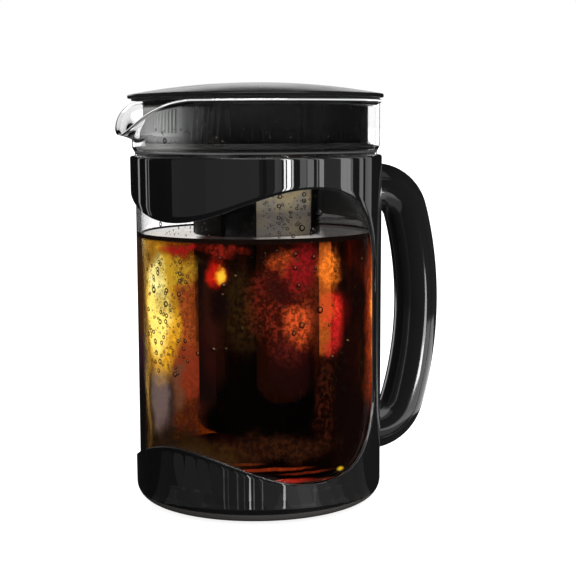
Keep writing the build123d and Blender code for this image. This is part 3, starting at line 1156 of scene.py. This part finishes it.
def meshCloth():
    # Fine woven filter mesh, its threads crossing along the panel's own height and turn. Painted
    # light and shade: dark where the brew stands and on the side away from the light, pale above
    # the brew on the side that faces the light, with a faint painted glow there
    paint = Finish("filterWeave")
    x, y, z = paint.spot()
    turn = y.joined("ARCTAN2", x)
    across = (turn * (cloth["radius"] / cloth["pitch"])) * (2 * math.pi)
    along = z * (2 * math.pi / (cloth["pitch"] * mm))
    weave = across.joined("SINE", 0.0) * along.joined("SINE", 0.0)
    cloud = paint.noise(90.0, 3.0)
    off = abs(turn - math.radians(cloth["facingTurn"]))
    facing = paint.fall(off, *cloth["facingHalf"])
    stain = paint.span(paint.noise(60.0, 3.0, 0.6), 0.4, 0.62)
    lift, high = paint.edge(z, cloth["wetEdge"]) * facing, paint.edge(z, cloth["paleEdge"])
    pale = paint.blend(stain * 0.6, *cloth["dry"])
    pale = paint.blend(high, pale, paint.blend(stain, *cloth["high"]))
    tone = paint.blend(lift, paint.blend(facing, cloth["hidden"], cloth["wet"]), pale)
    tone = paint.blend(paint.span(weave + cloud, 0.2, 1.2) * 0.3, tone, cloth["thread"])
    return paint.surface({
        "Base Color": tone,
        "Roughness": paint.span(cloud, 0.3, 0.7, 0.45, 0.6),
        "IOR": 1.5,
        "Specular IOR Level": 0.08,
        "Emission Color": paint.blend(lift * (1 - stain * 0.5), (0.0, 0.0, 0.0), cloth["glow"]),
        "Emission Strength": 1.0,
        "Normal": paint.bump(weave, 0.02 * mm, 0.4),
    })


filterWeave = meshCloth()

# Patches of light and shadow in the brew: turn from its front, half turn, height, half
# height, edge (under 0.5 is boxed, 1 is the softest), grain, cover, colour
brewPatches = [
    (-75, 13, 104, 32, 0.8, 0.3, 0.95, (0.07, 0.022, 0.004)),
    (-74.5, 14, 74, 16, 0.9, 0.1, 0.8, (0.03, 0.008, 0.02)),
    (-76, 15, 40, 32, 0.7, 0.1, 0.97, (0.003, 0.0015, 0.0015)),
    (-38.5, 14, 100, 36, 0.9, 0.35, 0.9, (0.44, 0.085, 0.018)),
    (-34, 13, 56, 28, 0.8, 0.4, 0.97, (0.045, 0.008, 0.004)),
    (-34.5, 11, 74, 16, 0.9, 0.3, 0.95, (0.24, 0.03, 0.01)),
    (-43, 8, 66, 14, 0.4, 0.1, 0.85, (0.13, 0.05, 0.024)),
    (-52, 13, 47, 32, 0.48, 0.1, 0.97, (0.018, 0.012, 0.012)),
    (-52, 7, 62, 24, 0.9, 0.1, 1, (0.15, 0.1, 0.09)),
    (-40, 26, 32, 13, 0.7, 0.3, 0.97, (0.01, 0.005, 0.0015)),
    (-51.5, 13, 104, 33, 0.6, 0.3, 1, (0.9, 0.44, 0.02)),
    (-53.5, 9.5, 104, 25, 0.7, 0.12, 1, (1.4, 1.05, 0.22)),
    (-54.5, 8, 118, 12, 0.9, 0.2, 0.95, (1.2, 1.1, 0.42)),
    (-42, 17, 120.5, 9.5, 0.9, 0.4, 1, (0.5, 0.3, 0.02)),
    (-46, 12, 107, 7, 0.9, 0.5, 0.7, (0.12, 0.04, 0.006)),
    (-55, 13, 129.5, 4, 0.9, 0.3, 0.7, (0.05, 0.02, 0.003)),
    (-39, 14, 132.5, 4.2, 0.9, 0.35, 1, (0.33, 0.005, 0.008)),
    # A painted dark band with a crisp edge, standing for the filter's side seen in the brew
    (-22.5, 4.6, 93, 37, 0.15, 0, 1, (0.006, 0.002, 0.0015)),
    (-14, 15, 131, 5, 1, 0.5, 0.95, (0.25, 0.012, 0.006)),
    (-20, 9, 86, 20, 0.9, 0.15, 0.5, (0.032, 0.004, 0.003)),
    (-19, 7, 104, 22, 0.9, 0.3, 0.7, (0.03, 0.006, 0.003)),
    (-5, 10, 102, 25, 0.9, 0.6, 0.9, (0.03, 0.014, 0.003)),
    (16, 18, 104, 30, 0.85, 0.6, 1, (0.16, 0.014, 0.006)),
    (15.5, 13, 74, 16, 0.7, 0.15, 0.4, (0.03, 0.005, 0.008)),
    (22, 10, 96.5, 12, 1, 0.55, 1, (0.8, 0.1, 0.02)),
    (14.5, 8, 126, 5, 1, 0.5, 0.9, (0.45, 0.06, 0.01)),
    (25.5, 10, 124, 13, 1, 0.35, 1, (0.28, 0.007, 0.01)),
    (14, 9, 113, 8, 1, 0.3, 0.85, (0.01, 0.0015, 0.002)),
    (-16.5, 7, 119.5, 9, 1, 0.25, 1, (0.62, 0.012, 0.004)),
    (-14.2, 3.6, 119.3, 6, 1, 0.2, 1, (1, 0.3, 0.01)),
    (-13.6, 2.4, 119, 4.5, 1, 0.1, 1, (1, 0.62, 0.04)),
    (-15, 6, 104, 10, 1, 0, 0.9, (0.003, 0.001, 0.001)),
    (37, 12, 106, 34, 0.8, 0.4, 0.8, (0.1, 0.014, 0.004)),
    (34.2, 3.6, 108, 29, 0.15, 0.25, 0.95, (0.5, 0.1, 0.014)),
    (37.5, 8, 122, 11, 1, 0.55, 1, (1.1, 0.24, 0.02)),
    (42, 10, 101, 13, 1, 0.55, 1, (1.1, 0.03, 0.02)),
    (40, 4.8, 88, 11, 1, 0.3, 1, (0.6, 0.014, 0.014)),
    (37, 4.8, 104, 9, 1, 0.3, 0.9, (0.6, 0.08, 0.014)),
    (53, 11, 112, 18, 0.8, 0.2, 0.95, (0.003, 0.001, 0.0008)),
    (53, 13, 66, 56, 0.45, 0.1, 0.97, (0.003, 0.001, 0.0008)),
    (35.5, 7.5, 58, 28, 0.9, 0.8, 0.9, (0.045, 0.008, 0.003)),
    (71.5, 10, 92, 48, 0.8, 0.5, 1, (0.4, 0.035, 0.004)),
    (79, 10, 96, 40, 0.9, 0.2, 1, (2.6, 0.7, 0.08)),
    (8, 38, 37, 9, 0.9, 0.5, 0.9, (0.04, 0.011, 0.004)),
    (-22, 22, 34.5, 8, 0.9, 0.55, 0.9, (0.035, 0.016, 0.003)),
    (-22, 2, 28, 1.2, 1, 0.2, 1, (0.9, 0.6, 0.02)),
    (43, 2.6, 24, 1.2, 1, 0.2, 1, (0.8, 0.5, 0.02)),
    (8, 22, 27, 1.1, 0.9, 0.2, 0.9, (0.3, 0.03, 0.006)),
    (24, 16, 24.4, 0.8, 0.9, 0.2, 0.9, (0.16, 0.015, 0.004)),
    (-4, 9, 30, 0.8, 0.9, 0.2, 0.8, (0.12, 0.02, 0.004)),
    (14, 16, 21, 1.4, 0.9, 0.2, 0.95, (0.4, 0.018, 0.008)),
    (30, 12, 20.2, 0.8, 0.9, 0.2, 0.8, (0.14, 0.012, 0.004)),
]


def brewGlow(paint, turn, z, quick):
    # The patches in turn, each over those before it: their colour, and how clear they leave it
    slow, rise = paint.noise(*coffee["slow"]), paint.noise(*coffee["rise"])
    foam = paint.span(paint.noise(*coffee["foam"]), 0.4, 0.58)
    stir = (quick - 0.5) * coffee["stirFine"]
    across = turn + (slow - 0.5) * coffee["stirTurn"] + stir
    height = z * 1000 + (rise - 0.5) * coffee["stirHeight"] + stir
    still = z * 1000 + (rise - 0.5) * coffee["stirThin"]
    colour, clear = coffee["deep"], 1
    for middle, halfTurn, level, halfHeight, soft, grain, cover, tone in brewPatches:
        calm = halfHeight < coffee["thin"] or soft < coffee["crisp"]
        side = abs((turn if calm else across) - middle) / halfTurn
        lift = abs((still if calm else height) - level) / halfHeight
        if soft < coffee["boxed"]:
            mask = paint.fall(side, 1 - soft, 1.0)
            mask = mask * paint.span(lift, 1 - soft, 1.0, cover, 0.0)
        else:
            away = (side * side + lift * lift) * coffee["spread"]
            mask = paint.fall(away, 1 - soft, 1.0) ** coffee["falling"] * cover
        if grain > 0:
            mask = mask * (1 - foam * grain)
        colour = paint.blend(mask, colour, tone)
        clear = clear * (1 - mask)
    # Painted light on the unseen side, glowing in standing columns
    hidden, column = paint.span(abs(turn), *coffee["backTurn"]), paint.noise(*coffee["column"])
    reach = paint.edge(abs(z - coffee["backMiddle"] * mm), coffee["backHalf"], 1.0, 0.0)
    cloud = paint.span(column + (quick - 0.5) * 0.25, 0.5, 0.68)
    cloud = cloud * (reach * 0.75 + 0.25) * (1 - foam * 0.4)
    dark, ember, flame = coffee["ember"]
    ember = paint.blend(cloud, dark, ember)
    ember = paint.blend(paint.span(column, 0.64, 0.72) * reach, ember, flame)
    return paint.blend(hidden, colour, ember), clear * (1 - hidden * (cloud * 0.5 + 0.35))


def brewTopReflection(paint, y):
    # Painted reflection on the surface from above: bright to the front, dim at the back, with a
    # painted shadow of the filter
    sheen = paint.span(paint.noise(30.0, 3.0, 0.6, (1, 1, 0.2)), 0.35, 0.7)
    topReflection = paint.blend(sheen, *coffee["topReflectionGrey"])
    topReflection = paint.blend(paint.edge(y, coffee["topReflectionFront"], 1.0, 0.0), topReflection, coffee["frontTone"])
    topReflection = paint.blend(paint.edge(y, coffee["topReflectionBack"]), topReflection, coffee["backTone"])
    shade = paint.edge(abs(y + coffee["shadeMiddle"] * mm), coffee["shadeHalf"], 0.95, 0.0)
    return paint.blend(shade, topReflection, coffee["shadeTone"])


def coldBrewFinish():
    # Thin brewed coffee: red through its depth, with patches of amber light and of shadow in it, a
    # painted reflection on its top surface and a painted dark line where it meets the glass
    paint = Finish("coldBrewRed")
    x, y, z = paint.split(paint.add("VectorRotate", {"rotation_type": "Z_AXIS"}, {
        "Vector": paint.place(), "Angle": math.radians(-coffee["faceTurn"]),
    }))
    turn = y.joined("ARCTAN2", x) * (180 / math.pi)
    colour, clear = brewGlow(paint, turn, z, paint.noise(*coffee["quick"]))
    top = paint.edge(z, coffee["topStart"])
    # The top surface takes the painted reflection
    colour = paint.blend(top, colour, brewTopReflection(paint, y))
    # A painted dark line of shade where the brew creeps up the glass
    line = paint.edge(paint.fromAxis(x, y), coffee["lineOut"]) * paint.edge(z, coffee["lineStart"])
    return paint.surface({
        "Base Color": (0.001, 0.0005, 0.0003, 1.0),
        "Roughness": 0.08,
        "IOR": 1.33,
        "Alpha": 1 - clear * (1 - top * 0.85) * (1 - line),
        "Emission Color": paint.blend(line, colour, coffee["lineTone"]),
        "Emission Strength": 1.0,
    }, paint.add("VolumeAbsorption", None, {
        "Color": coffee["tint"], "Density": coffee["density"],
    }))


coldBrewRed = coldBrewFinish()


def bubbleFinish():
    # A bubble in painted light and shade: a dark ring with a clear middle and a painted glint; V
    # runs up to the dome's crown
    paint = Finish("bubbleSkin")
    turn, rise = paint.split(paint.add("UVMap"))[:2]
    ring = paint.fall(rise, *bubble["ring"]) * bubble["ringCover"]
    inner = paint.fall(rise, *bubble["inner"])
    glint = paint.fall(abs(rise - bubble["glintRise"]), *bubble["glintTall"])
    glint = glint * paint.fall(abs(turn - bubble["glintTurn"]), *bubble["glintWide"])
    wobble = paint.noise(400.0, 2.0)
    dry = paint.edge(paint.spot()[2], bubble["dryEdge"])
    rim, shine = paint.blend(dry, *bubble["rimTones"]), paint.blend(dry, *bubble["glintTones"])
    colour = paint.blend(inner * wobble, bubble["dark"], rim)
    return paint.surface({
        "Base Color": (0.004, 0.002, 0.001, 1.0),
        "Roughness": paint.span(wobble, 0.3, 0.7, 0.1, 0.2),
        "IOR": 1.33,
        "Alpha": ring + glint * 0.5,
        "Emission Color": paint.blend(glint, colour, shine),
        "Emission Strength": 1.0,
    })


bubbleSkin = bubbleFinish()
print("finishes mixed")

dress(sleeveShell, sleeveBlack, "holder", ["outer_sleeve"])
dress(gripBody, handleBlack, "holder", ["handle_body"])
dress(gripCover, handleBlack, "holder", ["handle_cover"])
dress(footPad, softGrey, "holder", ["foot_pad"])
dress(baseCushion, softClear, "holder", ["base_cushion"])
dress(carafeGlass, carafeClear, "carafe", ["glass_carafe"])
dress(coldBrew, coldBrewRed, "carafe")
dress(brewBubbles, bubbleSkin, "carafe")
dress(lidDome, lidBlack, "lid", ["lid_cover"])
dress(lidPlug, plugBlack, "lid", ["lid_plug"])
dress(pourStrainer, strainerGrey, "lid", ["pour_strainer"])
dress(lidGasket, softClear, "lid", ["lid_gasket"])
dress(lipSeal, softBlack, "lid_ring", ["lid_seal"])
dress(filterFrame, filterBlack, "filter", ["filter_frame"])
dress(filterCollar, filterBlack, "filter", ["filter_collar"])
dress(filterCap, filterBlack, "filter_base", ["filter_cap"])
for count, panel in enumerate(meshPanels):
    dress(panel, filterWeave, "filter", ["filter_mesh_" + str(count + 1)])
for node in ("collar_seal", "cap_seal"):
    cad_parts[node].data.materials.clear()
    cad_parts[node].data.materials.append(softBlack)
print("pieces dressed")


# Studio: pale floor, white surroundings for the eye, dim ones for the reflections
studio = {
    "viewTurn": 22.0,
    "eye": (15.75, -699.8, 190.7),
    "pitch": 0.1186,
    "roll": 0.0053,
    "lens": 86.08,
    "stripAway": 850.0,
    "floorGlow": 0.86,
    "soft": 0.5,
    "gloss": 0.008,
    "inside": 0.6,
}


def eyeFrame(x, y, z):
    # From the camera's own right, ahead and up to the object's frame
    a = math.radians(studio["viewTurn"])
    return Vector((x * math.cos(a) + y * math.sin(a), -x * math.sin(a) + y * math.cos(a), z))


def setCamera():
    bpy.ops.object.camera_add()
    camera = bpy.context.object
    camera.name = "viewCamera"
    pitch, roll = studio["pitch"], studio["roll"]
    ahead = eyeFrame(0, math.cos(pitch), -math.sin(pitch))
    levelRight = eyeFrame(1, 0, 0)
    levelUp = eyeFrame(0, math.sin(pitch), math.cos(pitch))
    right = levelRight * math.cos(roll) - levelUp * math.sin(roll)
    up = levelUp * math.cos(roll) + levelRight * math.sin(roll)
    stand = Matrix((right, up, -ahead)).transposed().to_4x4()
    stand.translation = eyeFrame(*studio["eye"]) * mm
    camera.matrix_world = stand
    camera.data.sensor_width = 36.0
    camera.data.lens = studio["lens"]
    camera.data.clip_start = 0.01
    camera.data.clip_end = 100.0
    bpy.context.scene.camera = camera


def softbox(name, place, target, width, tall, glow, only=None):
    # An area light that faces a point, both in the camera's own frame, on some pieces or all
    place, target = eyeFrame(*place) * mm, eyeFrame(*target) * mm
    bpy.ops.object.light_add(type="AREA", location=place)
    light = bpy.context.object
    light.name = name
    light.rotation_euler = (target - place).to_track_quat("-Z", "Y").to_euler()
    light.data.shape = "RECTANGLE"
    light.data.size = width * mm
    light.data.size_y = tall * mm
    light.data.energy = glow * math.pi * width * tall * mm * mm
    light.visible_camera = False
    light.visible_transmission = False
    light.light_linking.receiver_collection = only
    return light


def floorBox(name, middle, along, wide, long, glow, rise, only):
    # A panel lying on the floor, its long side along a heading in the camera's own frame
    light = softbox(name, (*middle, rise), (*middle, 10), wide, long, glow, only)
    light.rotation_euler = (math.pi, 0, math.radians(along - studio["viewTurn"] - 90))


def receivers(name, *pieces):
    # Pieces that a light shines on alone
    group = bpy.data.collections.new(name)
    for piece in pieces:
        group.objects.link(piece)
    return group


def mirrored(across):
    # Where the eye looks by way of the sleeve, at a distance across from its middle line
    radius = sleeve["topRadius"]
    lean = math.asin(across / radius)
    spot = Vector((across, -radius * math.cos(lean), 0))
    eye = Vector((studio["eye"][0], studio["eye"][1], 0))
    arriving = (spot - eye).normalized()
    facing = Vector((math.sin(lean), -math.cos(lean), 0))
    return spot, arriving - 2 * arriving.dot(facing) * facing, radius * math.cos(lean)


def upperLine(name, across, width, glow):
    # A standing strip that the sleeve's upper band mirrors as a line of that place and width
    away = studio["stripAway"]
    spot, leaving, depth = mirrored(across)
    place = spot + leaving * away
    wide = width * (1 + 2 * away / depth)
    softbox(name, (place.x, place.y, 330), (spot.x, spot.y, 330), wide, 1300, glow, onSleeve)


def lowerLine(name, across, width, glow, near, far, rise):
    # A strip lying on the floor, mirrored as a line in the sleeve's lower band
    spot, leaving, depth = mirrored(across)
    middle = (near + far) / 2
    place = spot + leaving * middle
    wide = width * (1 + 2 * middle / depth)
    along = math.degrees(math.atan2(leaving.y, leaving.x))
    floorBox(name, (place.x, place.y), along, wide, far - near, glow, rise, onSleeve)


clearSelection()
setCamera()
onSleeve = receivers("onSleeve", sleeveShell)
onGrip = receivers("onGrip", gripBody, gripCover)
onLid = receivers("onLid", lidDome)
onGlass = receivers("onGlass", carafeGlass)
# Standing panels: place, what they face, width, height and glow
softbox("boxTop", (150, -450, 1500), (0, 0, 100), 1300, 1300, 2.0)
softbox("boxLid", (-420, 1600, 500), (0, 0, 200), 1400, 380, 0.95, onLid)
softbox("boxRim", (-100, -1250, 900), (0, 0, 210), 1700, 1250, 16.0, onGlass)
softbox("boxGrip", (420, -520, 1000), (90, 0, 120), 1000, 900, 0.55, onGrip)
softbox("boxGripBack", (-420, 520, 200), (90, 0, 100), 200, 400, 2.2, onGrip)
# Panels on the floor: middle, heading, width, length, glow and height
floorBox("gripFloorNear", (356, -164), -35.6, 70, 190, 22.0, 1.4, onGrip)
floorBox("gripFloorFar", (710, -416), -35.6, 120, 690, 9.0, 1.4, onGrip)
floorBox("gripFloorSide", (368, 36), 0.0, 420, 440, 2.0, 0.8, onGrip)
floorBox("gripFloorFront", (80, -110), -90.0, 220, 220, 0.6, 0.8, onGrip)
# Low panels either side, for the neck's wall
softbox("neckRight", (400, 470, 190), (0, 0, 190), 420, 90, 3.2, onGlass)
softbox("neckLeft", (-440, 430, 190), (0, 0, 190), 420, 90, 3.2, onGlass)
# Lines of light on the sleeve: place across it, width, glow
upperLines = [
    (-19, 54, 0.26), (-9, 30, 0.07), (14.6, 0.9, 22), (16.5, 1.8, 26),
    (18.2, 0.9, 10), (9, 6, 0.14), (11.6, 3.4, 0.8), (23.2, 3.2, 1.9),
    (26.6, 3.2, 2.9), (29.8, 0.7, 2.5), (31.8, 2.2, 4.6), (38.6, 12, 0.3),
    (43.6, 4.4, 3.3), (46.2, 1.4, 1.6), (51.2, 2, 1.6), (55, 3.4, 0.9),
    (-56.4, 1, 1.4), (-52.2, 0.7, 1.7), (-50.8, 0.6, 1.1),
]
for count, line in enumerate(upperLines):
    upperLine("upperStrip" + str(count), *line)
lowerPanels = [
    (-44, 7, 0.05), (-38, 6, 0.16), (-32, 6, 0.18), (-26, 6, 0.17),
    (-20, 6, 0.12), (-14, 6, 0.1), (-8, 6, 0.12), (-2, 6, 0.14),
    (4, 6, 0.24), (10, 6, 0.24), (16, 6, 0.6), (22, 6, 0.75),
    (27, 4, 0.6), (32, 6, 0.28), (38, 6, 0.24), (44, 6, 0.12),
    (50, 6, 0.1),
]
lowerLines = [
    (-15.4, 0.6, 0.9), (-13.4, 0.4, 0.5), (-8.8, 0.6, 0.8), (-5.5, 0.5, 0.6),
    (-2.8, 0.8, 8), (-0.9, 0.5, 1.8), (3.2, 0.6, 1.4), (13.8, 1, 8),
    (28.6, 0.6, 0.5),
]
for count, line in enumerate(lowerPanels):
    lowerLine("floorPanel" + str(count), *line, 12, 190, 0.4)
for count, line in enumerate(lowerLines):
    for step, (near, far) in enumerate(((14, 40), (40, 85), (85, 190))):
        lowerLine("floorStrip" + str(count) + "_" + str(step), *line, near, far, 1.2)

clearSelection()
bpy.ops.mesh.primitive_plane_add(size=80, location=(0, 0, 0))
floor = started("floorSheet")


def bounces(paint, kind, count=0.5):
    # One after that many bounces of that kind, none before them
    path = paint.add("LightPath")
    return Signal(paint.tree, path.socket.node.outputs[kind + " Depth"]) > count


def levels(paint):
    # What the eye sees, what lights a dull surface, what a gloss mirrors, and what
    # comes round inside the glass after two such turns
    dulled, glossed = bounces(paint, "Diffuse"), bounces(paint, "Glossy")
    inside = bounces(paint, "Glossy", 1.5) * (1 - dulled)
    plain = (1 - dulled + dulled * studio["soft"]) * (1 - glossed)
    return plain + glossed * studio["gloss"] + inside * studio["inside"]


floorPaint = Finish("floorWhite")
spread = floorPaint.length(floorPaint.place())
whiteFloor = floorPaint.add("BsdfDiffuse", None, {"Color": (0.85, 0.85, 0.85, 1)})
openGlow = floorPaint.span(spread, 0.12, 0.6, studio["floorGlow"], 1.0)
glowFloor = floorPaint.add("Emission", None, {"Color": (1, 1, 1, 1), "Strength": openGlow})
litFloor = floorPaint.add("AddShader", None, {0: whiteFloor, 1: glowFloor})
dimLevel = levels(floorPaint)
dimFloor = floorPaint.add("Emission", None, {"Color": (1, 1, 1, 1), "Strength": dimLevel})
straight = (1 - bounces(floorPaint, "Diffuse")) * (1 - bounces(floorPaint, "Glossy"))
floorPaint.close(floorPaint.add("MixShader", None, {0: straight, 1: dimFloor, 2: litFloor}))
floor.data.materials.append(floorPaint.material)

world = bpy.data.worlds.new("studioWorld")
bpy.context.scene.world = world
world.use_nodes = True
world.node_tree.nodes.clear()
sky = Finish.__new__(Finish)
sky.tree = world.node_tree
backdrop = sky.add("Background", None, {
    "Color": (1, 1, 1, 1),
    "Strength": levels(sky),
})
worldOut = sky.tree.nodes.new("ShaderNodeOutputWorld")
sky.tree.links.new(backdrop.socket, worldOut.inputs["Surface"])

bpy.context.scene.view_settings.view_transform = "Standard"
bpy.context.scene.cycles.transparent_max_bounces = 24
bpy.context.scene.cycles.light_threshold = 0.0
bpy.context.scene.cycles.max_bounces = 16
bpy.context.scene.cycles.transmission_bounces = 16
print("studio lit")

bpy.context.view_layer.update()
